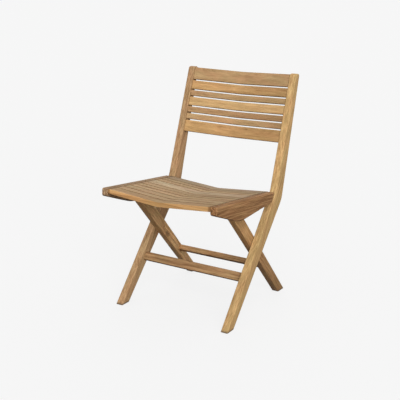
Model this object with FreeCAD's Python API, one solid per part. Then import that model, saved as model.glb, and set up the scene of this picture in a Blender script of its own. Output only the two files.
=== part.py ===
import FreeCAD, Part
import math
import os

os.makedirs("parts", exist_ok=True)

V = FreeCAD.Vector

# A folding garden chair of teak. X runs to the sitter's left, Y to the rear and Z up.
# Y is first counted from the front tip of the front feet, and the finished solids are
# moved so that the origin is at the middle of the footprint, on the ground.

# Driving dimensions, in millimetres and degrees
CHAIR_HEIGHT = 870.0
FRAME_WIDTH = 499.0          # over the outer faces of the posts

# The posts: back posts above the bend and front legs below it
POST_THICKNESS = 29.0        # across the chair
POST_LEAN = 39.6             # of the lower part, from the vertical
BACK_LEAN = 19.4             # of the upper part, from the vertical
BEND_BELOW_SEAT = 1.8        # of the front edge's bend, below the seat's rear top edge
POST_FOOT_DEPTH = 34.5
POST_BEND_DEPTH = 59.4
POST_TOP_DEPTH = 27.2
BEND_RADIUS = 80.0
POST_TOP_ROUND = 9.0
FRAME_ARRIS = 2.0            # on the side edges of posts, legs and rails

# The rear legs, between the posts
LEG_THICKNESS = 28.0
LEG_LEAN = 41.8              # of the centre line, from the vertical
LEG_FOOT_DEPTH = 35.4
LEG_TOP_RADIUS = 24.2
CROSSING_HEIGHT = 254.0
LEG_PIN_BELOW_SEAT = 44.0    # below the top edges of the side rails

# The seat
SEAT_FRONT_HEIGHT = 477.3    # of the top edge of the side rails
SEAT_TO_POST = 14.4          # level gap from the seat's rear top edge to the posts' bend
SEAT_TILT = 5.6              # down towards the rear
SEAT_DEPTH = 417.5
RAIL_THICKNESS = 28.0
RAIL_INSET = 0.0             # of the outer face, from that of the posts
RAIL_FRONT_DEPTH = 29.2
RAIL_BELLY_DEPTH = 74.0
RAIL_BELLY_AHEAD = 8.1       # of the belly's lowest corner, in front of the leg's pin
RAIL_BELLY_RADIUS = 220.0
RAIL_REAR_DEPTH = 36.5
RAIL_REAR_CUT = 20.0         # by which the lower rear corner lies forward
RAIL_TOP_ROUND = 6.0         # at the front end
RAIL_REAR_ROUND = 3.0
RAIL_NOSE_ROUND = 11.0
SEAT_SLAT_WIDTHS = [46.0, 32.0, 38.0, 28.0, 25.0, 32.0, 60.0, 27.0, 30.0, 45.5]
SEAT_SLAT_THICKNESS = 17.5
SEAT_DIP = 17.1              # of the slats' middle
SLAT_ARRIS = 2.0

# The back
BACK_SLAT_WIDTHS = [50.1, 35.8, 22.4, 34.4, 23.3, 22.8, 46.5]   # from the top
BACK_SLAT_THICKNESS = 16.0
BACK_GAP = 5.8
BACK_TOP_DROP = 0.6          # of the top rail, below the post tops, along the posts
BACK_SETBACK = 4.0           # of the slats' ends, from the posts' front faces
BACK_HOLLOW = 22.0           # of the slats' middle
TENON_LENGTH = 8.0
TENON_SHOULDER = 3.5         # all round each tenon

# The stretchers
FRONT_STRETCHER_HEIGHT = 170.0   # of the upper front edge
FRONT_STRETCHER_WIDTH = 33.0
FRONT_STRETCHER_THICKNESS = 16.0
FRONT_STRETCHER_SETBACK = 16.0   # from the posts' front edges
REAR_STRETCHER_HEIGHT = 146.0    # of the upper rear edge
REAR_STRETCHER_WIDTH = 22.0
REAR_STRETCHER_THICKNESS = 19.0
STRETCHER_ARRIS = 2.5

# The scissor pivots
CROSSING_GAP = 1.0           # between post and leg, filled by a washer
CROSSING_BOLT_RADIUS = 4.0
CROSSING_HEAD_RADIUS = 6.0
CROSSING_HEAD_HEIGHT = 5.0
CROSSING_BOLT_IN_POST = 20.0
CROSSING_WASHER_RADIUS = 10.0
PLUG_RADIUS = 7.0
PLUG_THICKNESS = 4.5
PIVOT_CLEARANCE = 0.05
HEAD_CLEARANCE = 0.4

# The pins at the leg tops and the notches that they carry
LEG_PIN_RADIUS = 5.0
LEG_PIN_COLLAR_RADIUS = 8.0
LEG_PIN_IN_LEG = 22.0
LEG_PIN_IN_RAIL = 13.0
NOTCH_CLEARANCE = 0.3
NOTCH_EXTRA_DEPTH = 1.0
NOTCH_TURN = 18.0            # of the seat, by which the pin has left its notch

# The seat's own pivots: steel blades in the posts, pins in the rails
SEAT_PIVOT_AHEAD = 15.0      # in front of the seat's rear end
SEAT_PIVOT_DEPTH = 12.0      # below the rails' top edges
SEAT_PIVOT_RADIUS = 4.0
SEAT_PIVOT_LENGTH = 17.0
BLADE_THICKNESS = 4.0
BLADE_HALF_HEIGHT = 10.0
BLADE_TANG = 32.0            # inside the post
BLADE_DROP = 17.0            # of the blade's line towards the post, from the horizontal
BLADE_CLEARANCE = 0.6
BLADE_SLOT_RUN = 120.0       # of the rail's slot, past any rail
TANG_PIN_RADIUS = 2.5
TANG_PIN_LENGTH = 21.0

# The fold: how far the seat turns up, and the rear legs' share of it
SEAT_FOLD = 104.0
LEG_FOLD_SHARE = 0.53

OVERCUT = 1.0                # by which a cutter runs past the face that it enters
TINY = 0.001


def lean(angle):
    """Direction along a member that leans back by this angle, pointing up."""
    a = math.radians(angle)
    return V(0, math.sin(a), math.cos(a))


def square_to(direction):
    """Direction square to a member in the side view, pointing to the rear."""
    return V(0, direction.z, -direction.y)


def at_height(point, direction, height):
    """The point where a line through a point reaches a height."""
    return point + direction * ((height - point.z) / direction.z)


def at_plane(point, direction, target, normal):
    """The point where a line through a point meets the plane through a target."""
    return point + direction * ((target - point).dot(normal) / direction.dot(normal))


def turned(point, centre, angle):
    """A point turned about an X axis line, positive from up towards the rear."""
    a = math.radians(angle)
    y = point.y - centre.y
    z = point.z - centre.z
    return V(point.x, centre.y + y * math.cos(a) + z * math.sin(a),
             centre.z + z * math.cos(a) - y * math.sin(a))


# Outline helpers

def outline(corners):
    """A closed wire through (point, radius) corners, each rounded as far as its sides allow."""
    count = len(corners)
    starts = []
    ends = []
    middles = []
    for i in range(count):
        point, radius = corners[i]
        to_last = corners[i - 1][0] - point
        to_next = corners[(i + 1) % count][0] - point
        room = min(to_last.Length, to_next.Length) / 2
        to_last.normalize()
        to_next.normalize()
        half = to_last.getAngle(to_next) / 2
        back = min(radius / math.tan(half), room)
        starts.append(point + to_last * back)
        ends.append(point + to_next * back)
        towards = (to_last + to_next).normalize()
        middles.append(point + towards * back * (1 / math.cos(half) - math.tan(half)))
    edges = []
    for i in range(count):
        if corners[i][1] > 0:
            edges.append(Part.Arc(starts[i], middles[i], ends[i]).toShape())
        edges.append(Part.LineSegment(ends[i], starts[(i + 1) % count]).toShape())
    return Part.Wire(edges)


def board(corners, x_low, thickness):
    """A board cut to a side-view outline, lying between two X planes."""
    solid = Part.Face(outline(corners)).extrude(V(thickness, 0, 0))
    solid.translate(V(x_low, 0, 0))
    return solid


def rod(centre, x_low, x_high, radius):
    """A round bar along X."""
    return Part.makeCylinder(radius, x_high - x_low, V(x_low, centre.y, centre.z), V(1, 0, 0))


def ease_sides(solid, arris):
    """Ease a board's side edges, except those of a foot's sole on the ground."""
    picked = []
    for edge in solid.Edges:
        ends = [vertex.Point for vertex in edge.Vertexes]
        in_side = abs(ends[0].x - ends[-1].x) < TINY
        on_ground = max(abs(end.z) for end in ends) < TINY
        if in_side and not on_ground:
            picked.append(edge)
    return solid.makeChamfer(arris, picked)


def ease_lengths(solid, arris):
    """Ease the edges that run across the chair."""
    picked = []
    for edge in solid.Edges:
        run = edge.Vertexes[-1].Point - edge.Vertexes[0].Point
        if abs(run.x) > abs(run.y) + abs(run.z):
            picked.append(edge)
    return solid.makeChamfer(arris, picked)


def mirrored(solid):
    return solid.mirror(V(0, 0, 0), V(1, 0, 0))


# Planes across the chair, for the side where X is positive
OUTER_X = FRAME_WIDTH / 2
POST_X = OUTER_X - POST_THICKNESS
LEG_OUTER_X = POST_X - CROSSING_GAP
LEG_X = LEG_OUTER_X - LEG_THICKNESS
RAIL_X = OUTER_X - RAIL_INSET - RAIL_THICKNESS

# Directions in the side view: along each member upwards, and square to it to the rear
POST_UP = lean(POST_LEAN)
POST_REAR = square_to(POST_UP)
BACK_UP = lean(BACK_LEAN)
BACK_REAR = square_to(BACK_UP)
LEG_UP = lean(-LEG_LEAN)
LEG_REAR = square_to(LEG_UP)
SEAT_BACK = lean(90.0 + SEAT_TILT)
SEAT_DOWN = V(0, SEAT_BACK.z, -SEAT_BACK.y)

# Points in the side view
FOOT_FRONT = V(0, 0, 0)
FOOT_REAR = V(0, POST_FOOT_DEPTH / POST_UP.z, 0)
SEAT_REAR_HEIGHT = SEAT_FRONT_HEIGHT + SEAT_BACK.z * SEAT_DEPTH
FRONT_BEND = at_height(FOOT_FRONT, POST_UP, SEAT_REAR_HEIGHT - BEND_BELOW_SEAT)
REAR_BEND = FRONT_BEND + POST_REAR * POST_BEND_DEPTH
POST_TOP = at_height(FRONT_BEND, BACK_UP, CHAIR_HEIGHT)
POST_TOP_REAR = POST_TOP + V(0, POST_TOP_DEPTH / BACK_UP.z, 0)
SEAT_FRONT = V(0, FRONT_BEND.y - SEAT_TO_POST, SEAT_REAR_HEIGHT) - SEAT_BACK * SEAT_DEPTH
CROSSING = (at_height(FOOT_FRONT, POST_UP, CROSSING_HEIGHT)
            + at_height(FOOT_REAR, REAR_BEND - FOOT_REAR, CROSSING_HEIGHT)) * 0.5
LEG_PIN = at_plane(CROSSING, LEG_UP, SEAT_FRONT + SEAT_DOWN * LEG_PIN_BELOW_SEAT, SEAT_DOWN)
LEG_FOOT = at_height(CROSSING, LEG_UP, 0.0)
RAIL_BELLY_REACH = (LEG_PIN - SEAT_FRONT).dot(SEAT_BACK) - RAIL_BELLY_AHEAD


def on_seat(reach, depth, x=0.0):
    """A point by its reach from the seat's front end and its depth below the top edge."""
    return SEAT_FRONT + SEAT_BACK * reach + SEAT_DOWN * depth + V(x, 0, 0)


def on_back(drop, depth, x=0.0):
    """A point by its drop from the post tops and its depth behind the posts' fronts."""
    return POST_TOP - BACK_UP * drop + BACK_REAR * depth + V(x, 0, 0)


SEAT_PIVOT = on_seat(SEAT_DEPTH - SEAT_PIVOT_AHEAD, SEAT_PIVOT_DEPTH)
BLADE_LINE = lean(90.0 + BLADE_DROP)
BLADE_X = RAIL_X + (RAIL_THICKNESS - BLADE_THICKNESS) / 2
BLADE_TO_POST = (FRONT_BEND - SEAT_PIVOT).dot(POST_REAR) / BLADE_LINE.dot(POST_REAR)
BLADE_END = SEAT_PIVOT + BLADE_LINE * (BLADE_TO_POST + BLADE_TANG)


# Hardware

def blade(x_low, thickness, half_height, end):
    """A flat bar from the seat's pivot, with a round eye, to an end point."""
    up = square_to(BLADE_LINE) * -half_height
    nose = SEAT_PIVOT - BLADE_LINE * half_height
    edges = [Part.Arc(SEAT_PIVOT - up, nose, SEAT_PIVOT + up).toShape(),
             Part.LineSegment(SEAT_PIVOT + up, end + up).toShape(),
             Part.LineSegment(end + up, end - up).toShape(),
             Part.LineSegment(end - up, SEAT_PIVOT - up).toShape()]
    solid = Part.Face(Part.Wire(edges)).extrude(V(thickness, 0, 0))
    solid.translate(V(x_low, 0, 0))
    return solid


def tang_pin():
    """The cross pin that locks a blade in its post, flush with the post's inner face."""
    centre = BLADE_END - BLADE_LINE * (BLADE_TANG / 2)
    return rod(centre, POST_X, POST_X + TANG_PIN_LENGTH, TANG_PIN_RADIUS)


def seat_hinge():
    solid = blade(BLADE_X, BLADE_THICKNESS, BLADE_HALF_HEIGHT, BLADE_END)
    bore = SEAT_PIVOT_RADIUS + PIVOT_CLEARANCE
    solid = solid.cut(rod(SEAT_PIVOT, BLADE_X - OVERCUT, BLADE_X + BLADE_THICKNESS + OVERCUT, bore))
    return solid.cut(tang_pin())


def seat_pivot():
    """A steel pin through the blade's eye, shut in behind the last slat's tenon."""
    start = RAIL_X + TENON_LENGTH
    return rod(SEAT_PIVOT, start, start + SEAT_PIVOT_LENGTH, SEAT_PIVOT_RADIUS)


def leg_pin():
    """A steel pin in the leg top with a collar that keeps leg and rail apart."""
    stem = rod(LEG_PIN, LEG_OUTER_X - LEG_PIN_IN_LEG, RAIL_X + LEG_PIN_IN_RAIL, LEG_PIN_RADIUS)
    collar = rod(LEG_PIN, LEG_OUTER_X, RAIL_X - HEAD_CLEARANCE, LEG_PIN_COLLAR_RADIUS)
    return stem.fuse(collar).removeSplitter()


HEAD_LOW_X = LEG_X + PLUG_THICKNESS + HEAD_CLEARANCE
HEAD_HIGH_X = HEAD_LOW_X + CROSSING_HEAD_HEIGHT


def crossing_bolt():
    head = rod(CROSSING, HEAD_LOW_X, HEAD_HIGH_X, CROSSING_HEAD_RADIUS)
    shank = rod(CROSSING, HEAD_HIGH_X, POST_X + CROSSING_BOLT_IN_POST, CROSSING_BOLT_RADIUS)
    return head.fuse(shank).removeSplitter()


def crossing_washer():
    disc = rod(CROSSING, LEG_OUTER_X, POST_X, CROSSING_WASHER_RADIUS)
    return disc.cut(crossing_bolt())


def crossing_plug():
    return rod(CROSSING, LEG_X, LEG_X + PLUG_THICKNESS, PLUG_RADIUS)


# Slats and stretchers

def flat_face(points):
    """A face with straight edges through these points."""
    return Part.Face(Part.makePolygon(points + points[:1]))


def kinked_bar(place, half_length, width, thickness, sag, arris):
    """A bar that is one sawn piece with a shallow V: place(across, depth, x) gives points."""
    rim = [place(0, 0, -half_length), place(0, sag, 0), place(0, 0, half_length),
           place(0, thickness, half_length), place(0, sag + thickness, 0),
           place(0, thickness, -half_length)]
    across = place(width, 0, 0) - place(0, 0, 0)
    return ease_lengths(flat_face(rim).extrude(across), arris)


def straight_bar(place, half_length, width, thickness, arris):
    """A straight bar: place(across, depth, x) gives points."""
    end = [place(0, 0, -half_length), place(width, 0, -half_length),
           place(width, thickness, -half_length), place(0, thickness, -half_length)]
    return ease_lengths(flat_face(end).extrude(V(2 * half_length, 0, 0)), arris)


def tenons(place, half_length, width, thickness):
    """The two tenons at a bar's ends, set in by a shoulder all round."""
    made = []
    for side in (-1, 1):
        low = TENON_SHOULDER
        wide = width - TENON_SHOULDER
        deep = thickness - TENON_SHOULDER
        x = side * half_length
        rim = [place(low, low, x), place(wide, low, x), place(wide, deep, x),
               place(low, deep, x)]
        made.append(flat_face(rim).extrude(V(side * TENON_LENGTH, 0, 0)))
    return made


def jointed(bar, ends):
    for end in ends:
        bar = bar.fuse(end)
    return bar.removeSplitter()


def seat_slat(reach, width):
    def place(across, depth, x):
        return on_seat(reach + across, depth, x)
    bar = kinked_bar(place, RAIL_X, width, SEAT_SLAT_THICKNESS, SEAT_DIP, SLAT_ARRIS)
    return jointed(bar, tenons(place, RAIL_X, width, SEAT_SLAT_THICKNESS))


def seat_slats():
    """All seat slats, from the front, with equal gaps between their uneven widths."""
    gap = (SEAT_DEPTH - sum(SEAT_SLAT_WIDTHS)) / (len(SEAT_SLAT_WIDTHS) - 1)
    slats = []
    reach = 0.0
    for width in SEAT_SLAT_WIDTHS:
        slats.append(seat_slat(reach, width))
        reach += width + gap
    return slats


def back_slat(drop, width):
    def place(across, depth, x):
        return on_back(drop + across, BACK_SETBACK + depth, x)
    bar = kinked_bar(place, POST_X, width, BACK_SLAT_THICKNESS, BACK_HOLLOW, SLAT_ARRIS)
    return jointed(bar, tenons(place, POST_X, width, BACK_SLAT_THICKNESS))


def back_slats():
    slats = []
    drop = BACK_TOP_DROP
    for width in BACK_SLAT_WIDTHS:
        slats.append(back_slat(drop, width))
        drop += width + BACK_GAP
    return slats


def stretcher(corner, along, rear, half_length, width, thickness):
    """A straight bar between two members, from its upper front corner."""
    def place(across, depth, x):
        return corner - along * across + rear * depth + V(x, 0, 0)
    bar = straight_bar(place, half_length, width, thickness, STRETCHER_ARRIS)
    return jointed(bar, tenons(place, half_length, width, thickness))


def front_stretcher():
    set_back = FOOT_FRONT + POST_REAR * FRONT_STRETCHER_SETBACK
    corner = at_height(set_back, POST_UP, FRONT_STRETCHER_HEIGHT)
    return stretcher(corner, POST_UP, POST_REAR, POST_X,
                     FRONT_STRETCHER_WIDTH, FRONT_STRETCHER_THICKNESS)


def leg_rear_edge(height):
    """The point of the legs' rear edge at a height."""
    foot = LEG_FOOT + V(0, LEG_FOOT_DEPTH / 2 / LEG_UP.z, 0)
    top = LEG_PIN + LEG_REAR * LEG_TOP_RADIUS
    return at_height(foot, top - foot, height)


def rear_stretcher():
    """The bar at the rear edges of the legs, its faces square to the legs."""
    corner = leg_rear_edge(REAR_STRETCHER_HEIGHT) - LEG_REAR * REAR_STRETCHER_WIDTH
    return stretcher(corner, LEG_UP, LEG_REAR, LEG_X,
                     REAR_STRETCHER_THICKNESS, REAR_STRETCHER_WIDTH)


# The long members, for the side where X is positive

def post(fitted):
    """A dog-leg post: a back post above the bend and a front leg below it."""
    corners = [(FOOT_FRONT, 0.0), (FOOT_REAR, 0.0), (REAR_BEND, BEND_RADIUS),
               (POST_TOP_REAR, POST_TOP_ROUND), (POST_TOP, POST_TOP_ROUND),
               (FRONT_BEND, BEND_RADIUS)]
    solid = board(corners, POST_X, POST_THICKNESS)
    solid = ease_sides(solid, FRAME_ARRIS)
    solid = solid.cut(blade(BLADE_X, BLADE_THICKNESS, BLADE_HALF_HEIGHT, BLADE_END))
    for piece in fitted + [crossing_bolt(), tang_pin()]:
        solid = solid.cut(piece)
    return solid


def rear_leg(fitted):
    """A leg that widens to a round top, where it carries its pin."""
    half_foot = V(0, LEG_FOOT_DEPTH / 2 / LEG_UP.z, 0)
    side = LEG_REAR * LEG_TOP_RADIUS
    crown = LEG_PIN + LEG_UP * LEG_TOP_RADIUS
    edges = [Part.LineSegment(LEG_FOOT - half_foot, LEG_FOOT + half_foot).toShape(),
             Part.LineSegment(LEG_FOOT + half_foot, LEG_PIN + side).toShape(),
             Part.Arc(LEG_PIN + side, crown, LEG_PIN - side).toShape(),
             Part.LineSegment(LEG_PIN - side, LEG_FOOT - half_foot).toShape()]
    solid = Part.Face(Part.Wire(edges)).extrude(V(LEG_THICKNESS, 0, 0))
    solid.translate(V(LEG_X, 0, 0))
    solid = ease_sides(solid, FRAME_ARRIS)
    bore = CROSSING_BOLT_RADIUS + PIVOT_CLEARANCE
    solid = solid.cut(rod(CROSSING, LEG_X - OVERCUT, LEG_OUTER_X + OVERCUT, bore))
    solid = solid.cut(rod(CROSSING, LEG_X - OVERCUT, HEAD_HIGH_X + HEAD_CLEARANCE, PLUG_RADIUS))
    solid = solid.cut(leg_pin())
    for piece in fitted:
        solid = solid.cut(piece)
    return solid


def notch_point(turn):
    """Where the leg's pin lies in the seat at rest once the seat has turned this far."""
    pin = turned(LEG_PIN, CROSSING, turn * LEG_FOLD_SHARE)
    return turned(pin, SEAT_PIVOT, -turn)


def notch():
    """The open-bottomed notch along the path by which the leg's pin leaves the rail."""
    radius = LEG_PIN_RADIUS + NOTCH_CLEARANCE
    step = NOTCH_TURN / 2
    front = []
    rear = []
    for turn in [0.0, step, NOTCH_TURN]:
        run = (notch_point(turn + step) - notch_point(turn - step)).normalize()
        sideways = square_to(run) * radius
        front.append(notch_point(turn) - sideways)
        rear.append(notch_point(turn) + sideways)
    start = (notch_point(-step) - notch_point(step)).normalize() * radius
    edges = [Part.Arc(front[0], notch_point(0.0) + start, rear[0]).toShape(),
             Part.Arc(rear[0], rear[1], rear[2]).toShape(),
             Part.LineSegment(rear[2], front[2]).toShape(),
             Part.Arc(front[2], front[1], front[0]).toShape()]
    depth = LEG_PIN_IN_RAIL + NOTCH_EXTRA_DEPTH
    solid = Part.Face(Part.Wire(edges)).extrude(V(depth + OVERCUT, 0, 0))
    solid.translate(V(RAIL_X - OVERCUT, 0, 0))
    return solid


def blade_slot():
    """The slot in the rail's rear end, open above, that clears the blade at every turn."""
    radius = BLADE_HALF_HEIGHT + BLADE_CLEARANCE
    thickness = BLADE_THICKNESS + 2 * BLADE_CLEARANCE
    far = BLADE_SLOT_RUN
    low = SEAT_PIVOT + square_to(BLADE_LINE) * radius
    last_line = lean(90.0 + BLADE_DROP - SEAT_FOLD)
    high = SEAT_PIVOT - square_to(last_line) * radius
    nose = SEAT_PIVOT - (BLADE_LINE + last_line).normalize() * radius
    rim = [low, low + BLADE_LINE * far, SEAT_PIVOT + (BLADE_LINE + last_line) * far,
           high + last_line * far, high]
    edges = [Part.LineSegment(rim[i], rim[i + 1]).toShape() for i in range(4)]
    edges.append(Part.Arc(high, nose, low).toShape())
    solid = Part.Face(Part.Wire(edges)).extrude(V(thickness, 0, 0))
    solid.translate(V(BLADE_X - BLADE_CLEARANCE, 0, 0))
    return solid


def seat_rail(fitted):
    """A side rail with a deep belly over the leg's pin."""
    corners = [(on_seat(0, 0), RAIL_TOP_ROUND),
               (on_seat(SEAT_DEPTH, 0), RAIL_REAR_ROUND),
               (on_seat(SEAT_DEPTH - RAIL_REAR_CUT, RAIL_REAR_DEPTH), RAIL_REAR_ROUND),
               (on_seat(RAIL_BELLY_REACH, RAIL_BELLY_DEPTH), RAIL_BELLY_RADIUS),
               (on_seat(0, RAIL_FRONT_DEPTH), RAIL_NOSE_ROUND)]
    solid = board(corners, RAIL_X, RAIL_THICKNESS)
    solid = ease_sides(solid, FRAME_ARRIS)
    solid = solid.cut(notch())
    solid = solid.cut(blade_slot())
    solid = solid.cut(seat_pivot())
    for piece in fitted:
        solid = solid.cut(piece)
    return solid


# Assembly

def pair(name, solid):
    """The same piece on both sides; the sitter's left is where X is positive."""
    return {name + "_left": solid, name + "_right": mirrored(solid)}


def all_nodes():
    back = back_slats()
    seat = seat_slats()
    front_bar = front_stretcher()
    rear_bar = rear_stretcher()
    nodes = {"front_stretcher": front_bar, "rear_stretcher": rear_bar}
    nodes["hinge_tang_pins"] = Part.makeCompound([tang_pin(), mirrored(tang_pin())])
    nodes.update(pair("post", post(back + [front_bar])))
    nodes.update(pair("rear_leg", rear_leg([rear_bar])))
    nodes.update(pair("seat_rail", seat_rail(seat)))
    nodes.update(pair("seat_hinge", seat_hinge()))
    nodes.update(pair("seat_pivot", seat_pivot()))
    nodes.update(pair("leg_pin", leg_pin()))
    nodes.update(pair("crossing_bolt", crossing_bolt()))
    nodes.update(pair("crossing_washer", crossing_washer()))
    nodes.update(pair("crossing_plug", crossing_plug()))
    for i, slat in enumerate(seat):
        nodes["seat_slat_" + str(i + 1)] = slat
    for i, slat in enumerate(back[1:-1]):
        nodes["back_slat_" + str(i + 2)] = slat
    nodes["back_top_rail"] = back[0]
    nodes["back_bottom_rail"] = back[-1]
    return nodes


def main():
    nodes = all_nodes()
    front = nodes["seat_rail_left"].optimalBoundingBox(False).YMin
    rear = nodes["back_top_rail"].optimalBoundingBox(False).YMax
    for name, solid in nodes.items():
        solid.translate(V(0, -(front + rear) / 2, 0))
        solid.exportStep("parts/" + name + ".step")


main()
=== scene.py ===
import math

import bmesh
import bpy
from mathutils import Matrix, Vector


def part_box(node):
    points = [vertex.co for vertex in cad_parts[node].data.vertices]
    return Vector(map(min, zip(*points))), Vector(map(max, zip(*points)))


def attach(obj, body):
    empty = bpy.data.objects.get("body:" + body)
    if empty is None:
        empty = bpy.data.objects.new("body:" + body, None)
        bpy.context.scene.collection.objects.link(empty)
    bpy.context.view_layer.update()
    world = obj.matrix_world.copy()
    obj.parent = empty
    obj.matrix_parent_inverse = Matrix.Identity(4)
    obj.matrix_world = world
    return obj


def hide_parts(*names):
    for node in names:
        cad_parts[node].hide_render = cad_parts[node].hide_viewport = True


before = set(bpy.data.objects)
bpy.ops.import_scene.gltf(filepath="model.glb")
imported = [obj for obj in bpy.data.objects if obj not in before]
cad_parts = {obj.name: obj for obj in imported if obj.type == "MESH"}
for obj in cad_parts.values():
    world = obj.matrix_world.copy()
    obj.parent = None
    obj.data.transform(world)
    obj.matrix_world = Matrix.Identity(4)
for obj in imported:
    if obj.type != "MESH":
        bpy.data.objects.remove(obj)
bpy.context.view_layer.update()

MM = 0.001
ACROSS_CHAIR = Vector((1.0, 0.0, 0.0))
FAR_AWAY = 5000.0                # mm, for what a piece doesn't have

# The camera stands in front of the chair, towards the sitter's left, and looks slightly down
CAMERA_PLACE = Vector((1.6685, -2.6263, 1.2762))
CAMERA_AZIMUTH = 32.606          # where it looks from, in degrees from the front to the left
CAMERA_FALL = 9.7625             # of its line of sight, in degrees below the level
CAMERA_LENS = 75.10
CAMERA_SENSOR = 36.0
CAMERA_SHIFT = (-0.0042, -0.2215)

# How the timber lies in the side view, in degrees from the vertical, positive to the rear
POST_GRAIN = 30.0                # a post is sawn from one board, between its two leans
POST_LEAN = 39.6
BACK_LEAN = 19.4
LEG_LEAN = -41.8
SEAT_LEAN = 95.6                 # of the seat's line to the rear

# The slats
SEAT_SLAT_THICKNESS = 17.5 * MM
BACK_SLAT_THICKNESS = 16.0 * MM
SEAT_SLAT_ARRIS = 1.4 * MM
BACK_SLAT_ARRIS = 2.4 * MM
SLAT_ARRIS_CUTS = 4              # points on each rounded arris
SLAT_BEND = 5.0 * MM             # roundness of the fold at the middle
SLAT_STATIONS = 61               # points along a slat
SEAT_JOINT_SHADE = 12.0                # mm, reach of the painted shade at a seat slat's ends
BACK_JOINT_SHADE = 2.5                 # mm, at a back slat's ends

# The other timber, whose eased edges are rounded further
MEMBER_ARRIS = 0.9 * MM
MEMBER_ARRIS_CUTS = 3
EASED_TURN = (28.0, 70.0)        # degrees by which the faces turn at an eased edge
FLAT_TURN = 0.3                  # degrees, less than any real edge
SHARP_TURN = 32.0                # degrees from which an edge is shaded sharp
LOOSE_CORNER = 0.002 * MM        # reach within which loose corners are one

# Light
WORLD_LIGHT = 0.64
KEY_LIGHT = 2.75
LAMP_SOFTNESS = 50.0             # in degrees
KEY_AZIMUTH = 40.0               # where it shines from, in degrees from the front to the left
KEY_HEIGHT = 20.0
FILL_LIGHT = 1.2                 # from behind, so that the back isn't dark in other views
FILL_AZIMUTH = 210.0
FILL_HEIGHT = 8.0
PAPER = 0.9215                   # of floor and background as the camera sees them
SHADOW_SHARE = 0.12              # of the floor's paleness that the shadow can take away
FLOOR_BOUNCE = 0.05              # of the floor as the object sees it
FLOOR_SIZE = 120.0
WHITE = (1.0, 1.0, 1.0, 1.0)


def srgb(red, green, blue):
    """A colour written as screen values from 0 to 255, as linear light with full alpha."""
    def linear(value):
        value /= 255.0
        return value / 12.92 if value <= 0.04045 else ((value + 0.055) / 1.055) ** 2.4
    return (linear(red), linear(green), linear(blue), 1.0)


def grey(value):
    return (value, value, value, 1.0)


def lean(angle):
    """Direction in the side view that leans to the rear by this angle."""
    a = math.radians(angle)
    return Vector((0.0, math.sin(a), math.cos(a)))


def span(node, direction):
    """The lowest and highest reach of a CAD node along a direction."""
    reach = [vertex.co.dot(direction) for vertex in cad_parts[node].data.vertices]
    return min(reach), max(reach)


# Node tools

def fill(tree, socket, value):
    """Give a socket a link or a plain value; None leaves it as it is."""
    if isinstance(value, bpy.types.NodeSocket):
        tree.links.new(value, socket)
    elif value is not None:
        socket.default_value = value


def add(tree, kind, inputs=None, **settings):
    """A node with its settings, and its inputs filled with sockets or plain values."""
    node = tree.nodes.new(kind)
    for name, value in settings.items():
        setattr(node, name, value)
    for name, value in (inputs or {}).items():
        fill(tree, node.inputs[name], value)
    return node


def maths(tree, operation, a, b=None, c=None, clamp=False):
    node = add(tree, "ShaderNodeMath", {0: a, 1: b, 2: c}, operation=operation, use_clamp=clamp)
    return node.outputs[0]


def vector(tree, operation, a, b=None, scale=None):
    node = add(tree, "ShaderNodeVectorMath", {0: a, 1: b}, operation=operation)
    if operation == "SCALE":
        fill(tree, node.inputs["Scale"], scale)
    return node.outputs["Value" if operation == "LENGTH" else "Vector"]


def combine(tree, x, y, z):
    return add(tree, "ShaderNodeCombineXYZ", {0: x, 1: y, 2: z}).outputs[0]


def separate(tree, value):
    return add(tree, "ShaderNodeSeparateXYZ", {0: value}).outputs


def remap(tree, value, low, high, to_low=0.0, to_high=1.0, smooth=True):
    """A value spread from one range to another, clamped."""
    node = add(tree, "ShaderNodeMapRange",
               {"Value": value, "From Min": low, "From Max": high,
                "To Min": to_low, "To Max": to_high},
               interpolation_type="SMOOTHSTEP" if smooth else "LINEAR")
    return node.outputs["Result"]


def mixed(tree, factor, a, b):
    """Colour a where the factor is 0, and colour b where it is 1."""
    node = add(tree, "ShaderNodeMix", data_type="RGBA")
    fill(tree, node.inputs[0], factor)
    fill(tree, node.inputs[6], a)
    fill(tree, node.inputs[7], b)
    return node.outputs[2]


def tinted(tree, factor, colour, tint):
    """A colour multiplied by a tint, as far as the factor says."""
    return mixed(tree, factor, colour, vector(tree, "MULTIPLY", colour, tint))


def cloud(tree, place, detail=2.0, roughness=0.5):
    """A noise node that changes about once in each unit of place."""
    return add(tree, "ShaderNodeTexNoise",
               {"Vector": place, "Scale": 1.0, "Detail": detail, "Roughness": roughness})


def noise(tree, place, pace, detail=2.0, roughness=0.5):
    """Grey noise from 0 to 1, whose pace is (along the grain, across it)."""
    along, across = pace
    place = vector(tree, "MULTIPLY", place, (along, across, across))
    return cloud(tree, place, detail, roughness).outputs[0]


def sockets_in(tree, kind, names):
    for name in names:
        tree.interface.new_socket(name, in_out="INPUT", socket_type="NodeSocket" + kind)


def sockets_out(tree, kind, names):
    for name in names:
        tree.interface.new_socket(name, in_out="OUTPUT", socket_type="NodeSocket" + kind)


# Teak

# How often each part of the figure changes, in cycles per mm along the grain and across it
SWAY_PACE = (0.004, 0.012)
LATEWOOD_PACE = (0.004, 0.09)
BAND_PACE = (0.0034, 0.11)
FIBRE_PACE = (0.011, 0.6)
THREAD_PACE = (0.05, 5.0)
PORE_PACE = (0.11, 3.4)
PATCH_PACE = (0.008, 0.03)
STREAK_PACE = (0.0045, 0.20)
END_GRAIN_PACE = (0.05, 0.24)
RUB_AND_HIGHLIGHT_PACE = (0.02, 0.06)

# Spans of that noise over which each goes from nothing to full
LATEWOOD_SPAN = (0.3, 0.7)
PORE_SPAN = (0.66, 0.74)
PATCH_SPAN = (0.32, 0.68)
STREAK_SPAN = (0.54, 0.68)
END_GRAIN_SPAN = (0.42, 0.66)
RUB_AND_HIGHLIGHT_SPAN = (0.35, 0.7)

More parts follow.
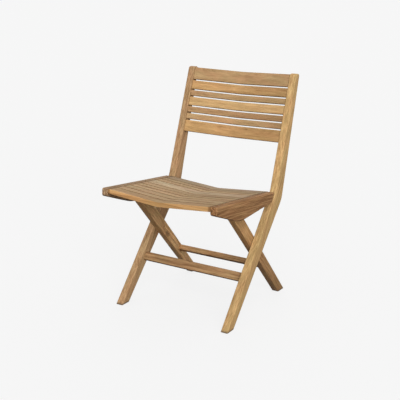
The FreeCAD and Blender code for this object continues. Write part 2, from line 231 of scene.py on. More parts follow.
# Spans of a growth ring, from 0 to 1, in which it darkens and ends, and its pores thin out
LATEWOOD_RISE = (0.2, 0.86)
LATEWOOD_END = (1.0, 0.9)
PORES_THIN = (0.75, 0.35)

# Spans in which a face turns upwards, downwards, to the board's side and to its end
TOP_SPAN = (0.4, 0.9)
UNDERSIDE_SPAN = (-0.2, -0.6)
SIDE_SPAN = (0.25, 0.75)
END_SPAN = (0.45, 0.85)

# From one board's seed to the next in the noise, in mm
SEED_STEP = (731.0, 37.3, 53.7)

# The fibre's sway and its parting round a knot, and the growth rings
SWAY = (0.0, 7.0, 7.0)           # mm
KNOT_STRETCH = (0.5, 1.0, 1.0)   # a knot is drawn out along the grain
KNOT_HALO = (2.6, 0.7)           # where it starts and is full, in knot sizes
KNOT_HEART = (1.1, 0.35)
KNOT_PARTING = 0.5
RING_PACE = 0.05                 # cycles per mm in which the rings' width changes
RING_UNEVENNESS = 5.0            # rings

# How much each adds to the tone of the wood
BAND_TONE = 1.9
FIBRE_TONE = 1.1
LATEWOOD_TONE = 0.26
LATEWOOD_MEAN = 0.22             # at which it leaves the tone alone
LATEWOOD_LEAST = 0.15            # of its strength where it is faintest
THREAD_TONE = 0.34

# What multiplies the wood's own colour
PALE_BAND = (1.38, 1.44, 1.50, 1.0)
DEEP_BAND = (0.62, 0.56, 0.50, 1.0)
ROSY_PATCH = (1.05, 0.975, 0.97, 1.0)
GREEN_PATCH = (0.96, 1.02, 0.98, 1.0)
STREAK_TINT = (0.50, 0.43, 0.38)
HALO_TINT = (0.74, 0.62, 0.50)
# The grey of tops, partly weathering and partly a painted sheen
WEATHER_AND_SHEEN_TINT = (0.76, 0.90, 1.22)
# Painted shade on faces that turn downwards
UNDERSIDE_SHADE_TINT = (0.30, 0.24, 0.18)
# Painted shade on the sides between slats and at their joints
BETWEEN_PARTS_SHADE_TINT = (0.42, 0.37, 0.33)
PALE_END_TINT = (1.40, 1.40, 1.45)
DEEP_END_TINT = (0.42, 0.38, 0.37)
# Pale arrises, partly wear and partly a painted highlight
RUB_AND_HIGHLIGHT_TINT = (1.30, 1.34, 1.36)

# Colours of their own, and how strongly they and others show
PORE_COLOUR = srgb(92, 62, 38)
HEART_COLOUR = srgb(74, 54, 32)
# Painted shade at the feet, where they meet the floor
FOOT_SHADE_COLOUR = srgb(74, 64, 54)
PORE_STRENGTH = 0.42
PORES_LEAST = 0.25               # of them in the latewood
HALO_STRENGTH = 0.30
HEART_STRENGTH = 0.5
# How strongly the painted shade shows at joints and at the feet
JOINT_SHADE_STRENGTH = 0.8
FOOT_SHADE_STRENGTH = 0.85
END_STRENGTH = 0.85

FADE_REACH = 200.0               # mm from a board's middle to where its fade is full
JOINT_SHADE_CORE = 0.45                # of the joint's reach, where the painted shade is full
FOOT_SHADE_HEIGHT = 9.0                # mm, up to which the feet get painted shade

TEAK_ROUGHNESS = 0.58
FIBRE_ROUGHNESS = 0.22
WORN_ROUGHNESS = 0.16            # more on the greyed tops and on end grain
TEAK_SPECULAR = 0.15

# The surface: how high and deep each stands, as shares of the relief
GRAIN_BUMP = 0.35
GRAIN_RELIEF = 0.25 * MM
THREAD_HEIGHT = 0.5
FIBRE_HEIGHT = 0.5
PORE_DEPTH = 0.9

STRENGTHS = ("Contrast", "Streaks", "Blush", "Weather And Sheen", "Side Shade", "Rub And Highlight", "Underside Shade",
             "Shortness", "Fineness")


def parted_fibre(tree, given):
    """Where a point lies among fibre that sways along a board and parts round its knot.

    Gives this place, the place at which the figure is read, and the knot's halo and heart.
    """
    place = given["Place"]
    start = vector(tree, "SCALE", SEED_STEP, scale=given["Seed"])
    from_knot = vector(tree, "SUBTRACT", place, given["Knot"])
    reach = vector(tree, "LENGTH", vector(tree, "MULTIPLY", from_knot, KNOT_STRETCH))
    reach = maths(tree, "DIVIDE", reach, given["Knot Size"])
    halo = remap(tree, reach, *KNOT_HALO)
    heart = remap(tree, reach, *KNOT_HEART)
    along, across = SWAY_PACE
    drift = cloud(tree, vector(tree, "MULTIPLY", vector(tree, "ADD", place, start),
                               (along, across, across))).outputs["Color"]
    sway = vector(tree, "SUBTRACT", drift, (0.5, 0.5, 0.5))
    fibre = vector(tree, "ADD", place, vector(tree, "MULTIPLY", sway, SWAY))
    parting = vector(tree, "SCALE", from_knot, scale=maths(tree, "MULTIPLY", halo, KNOT_PARTING))
    fibre = vector(tree, "ADD", fibre, parting)
    size = combine(tree, given["Shortness"], given["Fineness"], given["Fineness"])
    figure = vector(tree, "ADD", vector(tree, "MULTIPLY", fibre, size), start)
    return fibre, figure, halo, heart


def ring_phase(tree, given, fibre):
    """How far a point is through its growth ring round the pith, from 0 to 1."""
    along, across, through = separate(tree, fibre)
    pith = maths(tree, "ADD", given["Pith Across"],
                 maths(tree, "MULTIPLY", along, given["Pith Slope"]))
    radius = vector(tree, "LENGTH", combine(
        tree, 0.0, maths(tree, "SUBTRACT", across, pith),
        maths(tree, "SUBTRACT", through, given["Pith Through"])))
    pace = combine(tree, 0.0, 0.0, maths(tree, "MULTIPLY", radius, RING_PACE))
    uneven = maths(tree, "MULTIPLY", cloud(tree, pace).outputs[0], RING_UNEVENNESS)
    ring = maths(tree, "ADD", maths(tree, "DIVIDE", radius, given["Ring"]), uneven)
    return maths(tree, "FRACT", ring)


def new_wood(tree, given, figure, phase, fibre, thread):
    """The colour of the wood as it was sawn: bands, fibre, latewood, patches and streaks."""
    band = noise(tree, figure, BAND_PACE, 3.0, 0.62)
    late = maths(tree, "MULTIPLY", remap(tree, phase, *LATEWOOD_RISE),
                 remap(tree, phase, *LATEWOOD_END))
    late = maths(tree, "MULTIPLY", late, remap(tree, noise(tree, figure, LATEWOOD_PACE),
                                               *LATEWOOD_SPAN, LATEWOOD_LEAST, 1.0))
    tone = maths(tree, "MULTIPLY", maths(tree, "SUBTRACT", band, 0.5), BAND_TONE)
    tone = maths(tree, "MULTIPLY_ADD", maths(tree, "SUBTRACT", fibre, 0.5), FIBRE_TONE, tone)
    tone = maths(tree, "MULTIPLY_ADD", maths(tree, "SUBTRACT", LATEWOOD_MEAN, late),
                 LATEWOOD_TONE, tone)
    tone = maths(tree, "MULTIPLY_ADD", tone, given["Contrast"], 0.5, clamp=True)
    colour = vector(tree, "MULTIPLY", given["Wood"], mixed(tree, tone, DEEP_BAND, PALE_BAND))
    patch = remap(tree, noise(tree, figure, PATCH_PACE, 3.0, 0.55), *PATCH_SPAN)
    colour = tinted(tree, given["Blush"], colour, mixed(tree, patch, GREEN_PATCH, ROSY_PATCH))
    streak = remap(tree, noise(tree, figure, STREAK_PACE, 3.0, 0.6), *STREAK_SPAN)
    colour = tinted(tree, maths(tree, "MULTIPLY", streak, given["Streaks"]), colour, STREAK_TINT)
    shade = maths(tree, "MULTIPLY_ADD", thread, THREAD_TONE, 1.0 - THREAD_TONE / 2.0)
    return vector(tree, "SCALE", colour, scale=shade)


def faded(tree, given, along, colour):
    """A colour that is paler towards one end of the board."""
    run = remap(tree, along, -FADE_REACH, FADE_REACH, -1.0, 1.0, smooth=False)
    return vector(tree, "SCALE", colour,
                  scale=maths(tree, "MULTIPLY_ADD", run, given["Fade"], 1.0))


def painted_shade(tree, given, across, colour):
    """Painted shade on undersides, on the sides between slats and at their ends, and at the
    feet.
    """
    # Painted shade on the faces that turn downwards
    underside_shade = maths(tree, "MULTIPLY", remap(tree, given["Up"], *UNDERSIDE_SPAN),
                  given["Underside Shade"])
    colour = tinted(tree, underside_shade, colour, UNDERSIDE_SHADE_TINT)
    # Painted shade on the sides between slats, and at slat ends where they meet their rails
    side_shade = maths(tree, "MULTIPLY", given["Side Shade"],
                  remap(tree, maths(tree, "ABSOLUTE", across), *SIDE_SPAN))
    along = maths(tree, "ABSOLUTE", separate(tree, given["Place"])[0])
    to_end = maths(tree, "SUBTRACT", given["Half Length"], along)
    joint = remap(tree, to_end, given["Joint Shade Reach"],
                  maths(tree, "MULTIPLY", given["Joint Shade Reach"], JOINT_SHADE_CORE))
    joint = maths(tree, "MULTIPLY", joint, JOINT_SHADE_STRENGTH)
    colour = tinted(tree, maths(tree, "MAXIMUM", side_shade, joint), colour, BETWEEN_PARTS_SHADE_TINT)
    # Painted shade at the feet, near the floor
    foot_shade = remap(tree, given["Above Floor"], FOOT_SHADE_HEIGHT, 0.0)
    return mixed(tree, maths(tree, "MULTIPLY", foot_shade, FOOT_SHADE_STRENGTH), colour, FOOT_SHADE_COLOUR)


def end_grained(tree, given, end, colour):
    """Specks of end grain, which drinks the light in places."""
    speck = remap(tree, noise(tree, given["Place"], END_GRAIN_PACE, 3.0), *END_GRAIN_SPAN)
    ended = mixed(tree, speck, vector(tree, "MULTIPLY", colour, PALE_END_TINT),
                  vector(tree, "MULTIPLY", colour, DEEP_END_TINT))
    return mixed(tree, maths(tree, "MULTIPLY", end, END_STRENGTH), colour, ended)


def teak_group():
    """Solid teak, from its growth rings to its pale arrises, partly wear and partly a painted
    highlight.
    """
    tree = bpy.data.node_groups.new("teak", "ShaderNodeTree")
    sockets_in(tree, "Vector", ("Place", "Facing", "Knot"))
    sockets_in(tree, "Color", ("Wood",))
    sockets_in(tree, "Float", ("Pith Across", "Pith Through", "Pith Slope", "Ring") + STRENGTHS
               + ("Fade", "Half Length", "Joint Shade Reach", "Knot Size", "Arris", "Up", "Above Floor",
                  "Seed"))
    sockets_out(tree, "Color", ("Color",))
    sockets_out(tree, "Float", ("Roughness", "Height"))
    given = tree.nodes.new("NodeGroupInput").outputs
    result = tree.nodes.new("NodeGroupOutput")

    place, figure, halo, heart = parted_fibre(tree, given)
    phase = ring_phase(tree, given, place)
    fibre = noise(tree, figure, FIBRE_PACE, 4.0, 0.65)
    thread = noise(tree, figure, THREAD_PACE, 2.0, 0.6)
    pore = remap(tree, noise(tree, figure, PORE_PACE, 1.0), *PORE_SPAN)
    pore = maths(tree, "MULTIPLY", pore, remap(tree, phase, *PORES_THIN, PORES_LEAST, 1.0))

    colour = new_wood(tree, given, figure, phase, fibre, thread)
    colour = mixed(tree, maths(tree, "MULTIPLY", pore, PORE_STRENGTH), colour, PORE_COLOUR)
    colour = tinted(tree, maths(tree, "MULTIPLY", halo, HALO_STRENGTH), colour, HALO_TINT)
    colour = mixed(tree, maths(tree, "MULTIPLY", heart, HEART_STRENGTH), colour, HEART_COLOUR)
    colour = faded(tree, given, separate(tree, place)[0], colour)

    lengthwise, across, through = separate(tree, given["Facing"])
    # Tops turn grey, partly from weathering and partly as a painted sheen
    grey_and_sheen = maths(tree, "MULTIPLY", remap(tree, through, *TOP_SPAN), given["Weather And Sheen"])
    colour = tinted(tree, grey_and_sheen, colour, WEATHER_AND_SHEEN_TINT)
    colour = painted_shade(tree, given, across, colour)
    end = remap(tree, maths(tree, "ABSOLUTE", lengthwise), *END_SPAN)
    colour = end_grained(tree, given, end, colour)
    # Pale arrises in patches, partly wear and partly a painted highlight
    rubbed_and_highlit = maths(tree, "MULTIPLY", given["Arris"],
                   remap(tree, noise(tree, given["Place"], RUB_AND_HIGHLIGHT_PACE), *RUB_AND_HIGHLIGHT_SPAN))
    colour = tinted(tree, maths(tree, "MULTIPLY", rubbed_and_highlit, given["Rub And Highlight"]), colour, RUB_AND_HIGHLIGHT_TINT)

    rough = maths(tree, "MULTIPLY_ADD", fibre, FIBRE_ROUGHNESS, TEAK_ROUGHNESS)
    rough = maths(tree, "MULTIPLY_ADD", maths(tree, "MAXIMUM", end, grey_and_sheen), WORN_ROUGHNESS,
                  rough)
    height = maths(tree, "SUBTRACT", maths(tree, "MULTIPLY", thread, THREAD_HEIGHT),
                   maths(tree, "MULTIPLY", pore, PORE_DEPTH))
    height = maths(tree, "ADD", height, maths(tree, "MULTIPLY", fibre, FIBRE_HEIGHT))
    fill(tree, result.inputs["Color"], colour)
    fill(tree, result.inputs["Roughness"], rough)
    fill(tree, result.inputs["Height"], height)
    return tree


TEAK = teak_group()


def board(red, green, blue, contrast, streaks, blush=0.8, weather_and_sheen=0.0, side_shade=0.0, rub_and_highlight=0.25,
          underside_shade=0.5, shortness=1.0, fineness=1.0):
    """A kind of board: the wood's colour, and the strengths on it.

    These are of its grain, dark streaks, rosy patches, the grey on its top, which is partly
    weathering and partly a painted sheen, painted shade on its sides, pale arrises that are
    partly rubbed and partly a painted highlight, painted shade on its underside, and how much
    shorter and finer its figure is.
    """
    return srgb(red, green, blue), (contrast, streaks, blush, weather_and_sheen, side_shade, rub_and_highlight, underside_shade,
                                    shortness, fineness)


BOARDS = {
    "golden": board(196, 160, 111, 0.7, 0.10, blush=0.6),
    "honey": board(190, 149, 100, 0.75, 0.12, blush=0.6),
    "tan": board(178, 143, 103, 0.65, 0.12, blush=0.9),
    "umber": board(168, 132, 94, 0.75, 0.20, blush=0.9),
    "figured": board(190, 154, 105, 0.95, 0.35, blush=0.7, rub_and_highlight=0.5, shortness=1.7,
                     fineness=1.4),
    "striped": board(175, 139, 101, 1.0, 0.50, rub_and_highlight=0.4, fineness=1.5),
    "grey_and_sheen": board(194, 149, 98, 0.8, 0.15, blush=0.5, weather_and_sheen=1.0),
    "weathered": board(185, 153, 112, 0.8, 0.20, weather_and_sheen=0.35, side_shade=0.9),
    "silvered": board(185, 153, 112, 0.8, 0.20, weather_and_sheen=0.75, side_shade=0.9),
    "brown": board(168, 129, 87, 1.3, 0.45, blush=0.6, underside_shade=0.35, shortness=3.0,
                   fineness=1.5),
    "olive": board(167, 132, 92, 1.3, 0.45, blush=0.9, rub_and_highlight=0.15, underside_shade=0.55, shortness=4.0,
                   fineness=1.6),
    "deep": board(168, 131, 92, 1.3, 0.45, blush=0.6, underside_shade=1.0, shortness=2.0, fineness=1.2),
    "russet": board(158, 117, 78, 2.2, 0.95, blush=0.5, weather_and_sheen=0.2, rub_and_highlight=0.1, underside_shade=0.8,
                    shortness=1.8, fineness=2.2),
    "greyed": board(150, 122, 92, 1.7, 0.95, blush=0.5, weather_and_sheen=1.0, side_shade=0.5, rub_and_highlight=0.1,
                    underside_shade=0.3, shortness=1.6, fineness=1.5),
}


def sawn_from_log(seed):
    """Where a board lay in its log: its place from the pith, in mm, and its rings' width."""
    side = 1 if seed % 2 else -1
    return {"Pith Across": side * (12.0 + (seed * 29) % 60),
            "Pith Through": -(46.0 + (seed * 17) % 50),
            "Pith Slope": 0.02 * side * (1 + seed % 3),
            "Ring": 3.2 + (seed * 7) % 5 * 0.5}


def teak(name, kind, centre, along, across, seed, shade=1.0, fade=0.0, knot=None,
         half_length=FAR_AWAY * MM, joint=BACK_JOINT_SHADE):
    """Teak for one piece, whose grain runs along a direction from its centre.

    The shade makes the board paler or deeper, and the fade its far end paler than its near
    one. A knot is its place from the centre, along and across the grain and through the
    board, and its size, all in millimetres.
    """
    wood_colour, strengths = BOARDS[kind]
    material = bpy.data.materials.new("teak_" + name)
    material.use_nodes = True
    tree = material.node_tree
    shader = tree.nodes["Principled BSDF"]
    across = (across - along * across.dot(along)).normalized()
    through = along.cross(across)
    turn = Matrix((along, across, through)).transposed().to_euler()
    where = add(tree, "ShaderNodeTexCoord").outputs
    place = add(tree, "ShaderNodeMapping",
                {"Vector": where["Object"], "Location": centre, "Rotation": turn,
                 "Scale": (MM, MM, MM)}, vector_type="TEXTURE").outputs[0]
    facing = add(tree, "ShaderNodeMapping", {"Vector": where["Normal"], "Rotation": turn},
                 vector_type="TEXTURE").outputs[0]
    above = separate(tree, where["Object"])[2]
    knot = knot or (FAR_AWAY, 0.0, 0.0, 1.0)
    wood = add(tree, "ShaderNodeGroup", node_tree=TEAK)
    values = {
        "Place": place, "Facing": facing, "Up": separate(tree, where["Normal"])[2],
        "Above Floor": maths(tree, "DIVIDE", above, MM),
        "Wood": tuple(value * shade for value in wood_colour[:3]) + (1.0,),
        "Knot": knot[:3], "Knot Size": knot[3], "Seed": float(seed), "Fade": fade,
        "Half Length": half_length / MM, "Joint Shade Reach": joint,
        "Arris": add(tree, "ShaderNodeAttribute", attribute_name="arris").outputs["Fac"],
    }
    values.update(sawn_from_log(seed))
    values.update(zip(STRENGTHS, strengths))
    for key, value in values.items():
        fill(tree, wood.inputs[key], value)
    bump = add(tree, "ShaderNodeBump", {"Height": wood.outputs["Height"],
                                        "Strength": GRAIN_BUMP, "Distance": GRAIN_RELIEF})
    fill(tree, shader.inputs["Base Color"], wood.outputs["Color"])
    fill(tree, shader.inputs["Roughness"], wood.outputs["Roughness"])
    fill(tree, shader.inputs["Normal"], bump.outputs["Normal"])
    shader.inputs["Specular IOR Level"].default_value = TEAK_SPECULAR
    return material


# Slats

def slat_tree():
    """A bar with rounded long edges that folds in a shallow V at its middle."""
    tree = bpy.data.node_groups.new("folded_slat", "GeometryNodeTree")
    tree.is_modifier = True
    sockets_in(tree, "Float", ("Half Length", "Width", "Thickness", "Sag", "Bend", "Arris",
                               "Tilt"))
    sockets_in(tree, "Int", ("Stations", "Arris Cuts"))
    sockets_in(tree, "Vector", ("Place",))
    sockets_in(tree, "Material", ("Finish",))
    sockets_out(tree, "Geometry", ("Geometry",))
    given = tree.nodes.new("NodeGroupInput").outputs
    result = tree.nodes.new("NodeGroupOutput")

    # A straight bar along X
    half = given["Half Length"]
    line = add(tree, "GeometryNodeCurvePrimitiveLine",
               {"Start": combine(tree, maths(tree, "MULTIPLY", half, -1.0), 0.0, 0.0),
                "End": combine(tree, half, 0.0, 0.0)}).outputs[0]
    line = add(tree, "GeometryNodeResampleCurve",
               {"Curve": line, "Count": given["Stations"]}).outputs[0]
    line = add(tree, "GeometryNodeSetCurveNormal", {"Curve": line}, mode="Z_UP").outputs[0]
    rim = add(tree, "GeometryNodeCurvePrimitiveQuadrilateral",
              {"Width": given["Width"], "Height": given["Thickness"]}).outputs[0]
    rim = add(tree, "GeometryNodeFilletCurve",
              {"Curve": rim, "Count": given["Arris Cuts"], "Radius": given["Arris"]},
              mode="POLY").outputs[0]
    bar = add(tree, "GeometryNodeCurveToMesh",
              {"Curve": line, "Profile Curve": rim, "Fill Caps": True}).outputs[0]
    along, across, through = separate(tree, add(tree, "GeometryNodeInputPosition").outputs[0])

    # Its rounded arrises are marked, for the wear and the painted highlight on them
    def on_rounding(value, size):
        """Whether a coordinate lies in the rounded zone at the bar's side."""
        flat = maths(tree, "SUBTRACT", maths(tree, "DIVIDE", size, 2.0), given["Arris"])
        return maths(tree, "GREATER_THAN", maths(tree, "ABSOLUTE", value),
                     maths(tree, "ADD", flat, 0.1 * MM))

    on_arris = maths(tree, "MULTIPLY", on_rounding(across, given["Width"]),
                     on_rounding(through, given["Thickness"]))
    bar = add(tree, "GeometryNodeStoreNamedAttribute",
              {"Geometry": bar, "Name": "arris", "Value": on_arris},
              data_type="FLOAT", domain="POINT").outputs[0]

    # It folds, and goes to its place
    run = maths(tree, "SQRT", maths(tree, "ADD", maths(tree, "POWER", along, 2.0),
                                    maths(tree, "POWER", given["Bend"], 2.0)))
    drop = maths(tree, "MULTIPLY", given["Sag"],
                 maths(tree, "SUBTRACT", maths(tree, "DIVIDE", run, half), 1.0))
    bar = add(tree, "GeometryNodeSetPosition",
              {"Geometry": bar, "Offset": combine(tree, 0.0, 0.0, drop)}).outputs[0]
    bar = add(tree, "GeometryNodeTransform",
              {"Geometry": bar, "Translation": given["Place"],
               "Rotation": combine(tree, given["Tilt"], 0.0, 0.0)}).outputs[0]
    bar = add(tree, "GeometryNodeRealizeInstances", {"Geometry": bar}).outputs[0]
    bar = add(tree, "GeometryNodeSetMaterial",
              {"Geometry": bar, "Material": given["Finish"]}).outputs[0]
    fill(tree, result.inputs["Geometry"], bar)
    return tree


SLAT = slat_tree()


def grown(name, tree, values):
    """A plain mesh object made by a Geometry Nodes tree from named values."""
    maker = bpy.data.objects.new(name + "_maker", bpy.data.meshes.new(name + "_maker"))
    bpy.context.scene.collection.objects.link(maker)
    modifier = maker.modifiers.new("nodes", "NODES")
    modifier.node_group = tree
    for item in tree.interface.items_tree:
        if item.item_type == "SOCKET" and item.in_out == "INPUT":
            modifier[item.identifier] = values[item.name]
    view = bpy.context.evaluated_depsgraph_get()
    mesh = bpy.data.meshes.new_from_object(maker.evaluated_get(view), depsgraph=view)
    bpy.data.objects.remove(maker)
    return finished(name, mesh)


def finished(name, mesh):
    """An object for a mesh, shaded smooth but for its sharp edges."""
    for polygon in mesh.polygons:
        polygon.use_smooth = True
    mesh.set_sharp_from_angle(angle=math.radians(SHARP_TURN))
    piece = bpy.data.objects.new(name, mesh)
    bpy.context.scene.collection.objects.link(piece)
    return piece


def slat(node, body, slot, half_length, thickness, arris, rear, down, kind, **finish):
    """A folded slat in the place of its CAD node."""
    front_edge, rear_edge = span(node, rear)
    top, bottom = span(node, down)
    middle = rear * (front_edge + rear_edge) / 2 + down * (top + thickness / 2)
    wood = teak(node, kind, middle, ACROSS_CHAIR, rear, half_length=half_length, **finish)
    piece = grown(node + "_wood", SLAT, {
        "Half Length": half_length, "Width": rear_edge - front_edge,
        "Thickness": thickness, "Sag": bottom - top - thickness,
        "Bend": SLAT_BEND, "Arris": arris, "Tilt": math.atan2(rear.z, rear.y),
        "Stations": SLAT_STATIONS, "Arris Cuts": SLAT_ARRIS_CUTS,
        "Place": middle, "Finish": wood})
    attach(piece, body)
    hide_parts(node)


# Other timber

def rounded(node, arris):
    """A CAD node's solid with its eased edges rounded off, as a new mesh."""
    mesh = bpy.data.meshes.new(node + "_wood")
    shape = bmesh.new()
    shape.from_mesh(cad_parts[node].data)
    bmesh.ops.remove_doubles(shape, verts=shape.verts, dist=LOOSE_CORNER)
    bmesh.ops.dissolve_limit(shape, angle_limit=math.radians(FLAT_TURN), verts=shape.verts,
                             edges=shape.edges)
    least, most = EASED_TURN
    eased = [edge for edge in shape.edges if edge.is_manifold and edge.is_convex
             and least < math.degrees(edge.calc_face_angle()) < most]
    made = bmesh.ops.bevel(shape, geom=eased, offset=arris, segments=MEMBER_ARRIS_CUTS,
                           profile=0.5, affect="EDGES", clamp_overlap=True)
    layer = shape.verts.layers.float.new("arris")
    for face in made["faces"]:
        for vertex in face.verts:
            vertex[layer] = 1.0
    shape.to_mesh(mesh)
    shape.free()
    return mesh


def member(node, body, slot, along, across, kind, **finish):
    """A long member in the place of its CAD node."""
    low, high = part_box(node)
    mesh = rounded(node, MEMBER_ARRIS)
    mesh.materials.append(teak(node, kind, (low + high) / 2, along, across, **finish))
    piece = finished(node + "_wood", mesh)
    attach(piece, body)
    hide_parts(node)


# Metal and plugs

BRIGHT_STEEL = srgb(186, 184, 178)
DULL_STEEL = srgb(140, 136, 128)
BRUSHING_PACE = (40.0, 900.0, 900.0)     # cycles per metre
TARNISH_PACE = (160.0, 160.0, 160.0)
DULLING_SPAN = (0.4, 0.7)
SMOOTHEST_STEEL = 0.25
BRUSHED_ROUGHNESS = 0.25
BRUSHING_BUMP = 0.2
BRUSHING_RELIEF = 0.05 * MM


def steel():
    """Steel brushed along the pins, duller in patches."""
    material = bpy.data.materials.new("steel_satin")
    material.use_nodes = True
    tree = material.node_tree
    shader = tree.nodes["Principled BSDF"]
    where = add(tree, "ShaderNodeTexCoord").outputs["Object"]
    brushed = cloud(tree, vector(tree, "MULTIPLY", where, BRUSHING_PACE), 3.0).outputs[0]
    dull = cloud(tree, vector(tree, "MULTIPLY", where, TARNISH_PACE), 3.0).outputs[0]
    fill(tree, shader.inputs["Base Color"],
         mixed(tree, remap(tree, dull, *DULLING_SPAN), BRIGHT_STEEL, DULL_STEEL))
    fill(tree, shader.inputs["Roughness"],
         maths(tree, "MULTIPLY_ADD", brushed, BRUSHED_ROUGHNESS, SMOOTHEST_STEEL))
    bump = add(tree, "ShaderNodeBump", {"Height": brushed, "Strength": BRUSHING_BUMP,
                                        "Distance": BRUSHING_RELIEF})
    fill(tree, shader.inputs["Normal"], bump.outputs["Normal"])
    shader.inputs["Metallic"].default_value = 1.0
    return material


def dress(node, material):
    """A better finish on a CAD node whose shape is right."""
    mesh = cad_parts[node].data
    mesh.materials.clear()
    mesh.materials.append(material)


# The chair

BACK_UP = lean(BACK_LEAN)
BACK_REAR = Vector((0.0, BACK_UP.z, -BACK_UP.y))
SEAT_REAR = lean(SEAT_LEAN)
SEAT_DOWN = Vector((0.0, SEAT_REAR.z, -SEAT_REAR.y))
POST_ALONG = lean(POST_GRAIN)
LEG_UP = lean(LEG_LEAN)

# Each slat's kind of board and what sets it apart. A fade's far end is on the sitter's left.
SEAT_BOARDS = [("grey_and_sheen", {"shade": 0.97}),
               ("weathered", {"shade": 0.98}),
               ("weathered", {"shade": 0.96, "fade": -0.03}),
               ("weathered", {"shade": 1.02, "fade": -0.02}),
               ("weathered", {"shade": 1.03, "fade": -0.04}),
               ("weathered", {"shade": 0.88, "fade": -0.10}),
               ("silvered", {"shade": 1.20, "fade": -0.10}),
               ("weathered", {"shade": 1.01, "fade": -0.02}),
               ("weathered", {"shade": 0.83, "fade": -0.04}),
               ("silvered", {"shade": 0.89})]
BACK_BOARDS = [("back_top_rail", "tan", {"shade": 0.93}),
               ("back_slat_2", "honey", {"shade": 0.88, "fade": -0.12}),
               ("back_slat_3", "tan", {"shade": 0.88, "knot": (4.0, 2.0, 8.0, 5.0)}),
               ("back_slat_4", "golden", {"shade": 0.94}),
               ("back_slat_5", "umber", {"shade": 0.93, "fade": -0.04}),
               ("back_slat_6", "tan", {"shade": 0.94, "fade": -0.06,
                                       "knot": (73.0, 0.0, 8.0, 7.0)}),
               ("back_bottom_rail", "honey", {"shade": 0.85, "fade": -0.08})]

rail_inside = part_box("seat_rail_left")[0].x
for number, (kind, finish) in enumerate(SEAT_BOARDS, 1):
    slat("seat_slat_" + str(number), "seat", "teak_pale", rail_inside, SEAT_SLAT_THICKNESS,
         SEAT_SLAT_ARRIS, SEAT_REAR, SEAT_DOWN, kind, seed=number, joint=SEAT_JOINT_SHADE, **finish)
post_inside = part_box("post_left")[0].x
for seed, (node, kind, finish) in enumerate(BACK_BOARDS, 21):
    slat(node, "frame", "teak_golden", post_inside, BACK_SLAT_THICKNESS, BACK_SLAT_ARRIS,
         BACK_UP, BACK_REAR, kind, seed=seed, joint=BACK_JOINT_SHADE, **finish)

member("post_left", "frame", "teak_golden", POST_ALONG, ACROSS_CHAIR, "figured", seed=37,
       shade=0.89, fade=0.05)
member("post_right", "frame", "teak_golden", POST_ALONG, ACROSS_CHAIR, "striped", seed=34,
       shade=0.88, fade=-0.03)
member("rear_leg_left", "rear_legs", "teak_brown", LEG_UP, ACROSS_CHAIR, "brown", seed=47,
       shade=0.95, fade=0.26)
# Its knot darkens the inner front corner of the nose: painted shade there
member("seat_rail_left", "seat", "teak_brown", SEAT_REAR, ACROSS_CHAIR, "russet", seed=57,
       shade=0.88, knot=(-209.0, -14.0, -8.0, 12.0))
# Its paler shade is painted light, making up for the shade the chair casts on its inner side
member("rear_leg_right", "rear_legs", "teak_brown", LEG_UP, ACROSS_CHAIR, "olive", seed=48,
       shade=1.42, fade=-0.08, knot=(10.0, 14.0, -15.0, 12.0))
member("seat_rail_right", "seat", "teak_brown", SEAT_REAR, ACROSS_CHAIR, "greyed", seed=58,
       shade=1.06)
member("front_stretcher", "frame", "teak_golden", ACROSS_CHAIR, lean(POST_LEAN), "deep",
       seed=67, shade=0.87, fade=0.05)
# Its paler shade is painted light against the seat's shade on it, and its fade paints shadow on
# its end at the sitter's left
member("rear_stretcher", "rear_legs", "teak_brown", ACROSS_CHAIR, LEG_UP, "deep",
       seed=68, shade=1.17, fade=-0.34)

metal = steel()
for side in ("left", "right"):
    for part in ("seat_hinge", "seat_pivot", "leg_pin", "crossing_bolt", "crossing_washer"):
        dress(part + "_" + side, metal)
    low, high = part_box("crossing_plug_" + side)
    dress("crossing_plug_" + side,
          teak("plug_" + side, "russet", (low + high) / 2, LEG_UP, ACROSS_CHAIR, seed=71))
dress("hinge_tang_pins", metal)


# Studio

def make_camera():
    data = bpy.data.cameras.new("camera")
    data.lens = CAMERA_LENS
    data.sensor_width = CAMERA_SENSOR
    data.shift_x, data.shift_y = CAMERA_SHIFT
    camera = bpy.data.objects.new("camera", data)
    camera.location = CAMERA_PLACE
    camera.rotation_euler = (math.radians(90.0 - CAMERA_FALL), 0.0,
                             math.radians(CAMERA_AZIMUTH))
    bpy.context.scene.collection.objects.link(camera)
    bpy.context.scene.camera = camera


def seen_directly(tree):
    """One where a ray comes from the camera, a mirror or glass, and else nothing."""
    path = add(tree, "ShaderNodeLightPath").outputs
    seen = maths(tree, "MAXIMUM", path["Is Camera Ray"], path["Is Glossy Ray"])
    return maths(tree, "MAXIMUM", seen, path["Is Transmission Ray"])


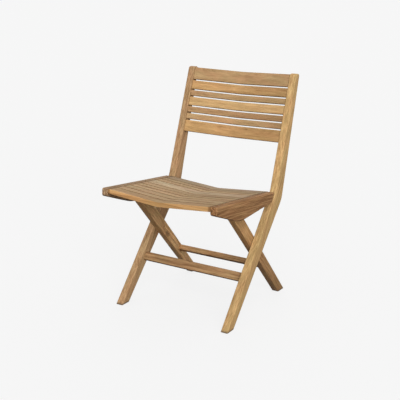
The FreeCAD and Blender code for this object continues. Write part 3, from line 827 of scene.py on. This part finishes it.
def level_light():
    """The light that falls on a level surface in the open."""
    key = KEY_LIGHT / math.pi * math.sin(math.radians(KEY_HEIGHT))
    rear = FILL_LIGHT / math.pi * math.sin(math.radians(FILL_HEIGHT))
    return WORLD_LIGHT + key + rear


def make_floor():
    """Paper that glows a little, so that the shadow on it stays faint."""
    half = FLOOR_SIZE / 2
    mesh = bpy.data.meshes.new("floor")
    mesh.from_pydata([(-half, -half, 0.0), (half, -half, 0.0), (half, half, 0.0),
                      (-half, half, 0.0)], [], [(0, 1, 2, 3)])
    floor = bpy.data.objects.new("floor", mesh)
    bpy.context.scene.collection.objects.link(floor)
    material = bpy.data.materials.new("floor_paper")
    material.use_nodes = True
    tree = material.node_tree
    shader = tree.nodes["Principled BSDF"]
    seen = seen_directly(tree)
    lit = PAPER * SHADOW_SHARE / level_light()
    fill(tree, shader.inputs["Base Color"], mixed(tree, seen, grey(FLOOR_BOUNCE), grey(lit)))
    fill(tree, shader.inputs["Emission Strength"],
         maths(tree, "MULTIPLY", seen, PAPER * (1.0 - SHADOW_SHARE)))
    shader.inputs["Emission Color"].default_value = WHITE
    shader.inputs["Roughness"].default_value = 1.0
    shader.inputs["Specular IOR Level"].default_value = 0.0
    mesh.materials.append(material)


def make_world():
    world = bpy.data.worlds.new("studio")
    bpy.context.scene.world = world
    world.use_nodes = True
    tree = world.node_tree
    back = tree.nodes["Background"]
    fill(tree, back.inputs["Strength"],
         remap(tree, seen_directly(tree), 0.0, 1.0, WORLD_LIGHT, PAPER, smooth=False))
    back.inputs["Color"].default_value = WHITE


def make_lamp(name, strength, azimuth, height, mirrored):
    data = bpy.data.lights.new(name, "SUN")
    data.energy = strength
    data.angle = math.radians(LAMP_SOFTNESS)
    lamp = bpy.data.objects.new(name, data)
    lamp.rotation_euler = (math.radians(90.0 - height), 0.0, math.radians(azimuth))
    lamp.visible_glossy = mirrored
    bpy.context.scene.collection.objects.link(lamp)


make_camera()
make_floor()
make_world()
make_lamp("key", KEY_LIGHT, KEY_AZIMUTH, KEY_HEIGHT, mirrored=True)
make_lamp("fill", FILL_LIGHT, FILL_AZIMUTH, FILL_HEIGHT, mirrored=False)
bpy.context.scene.view_settings.view_transform = "Standard"
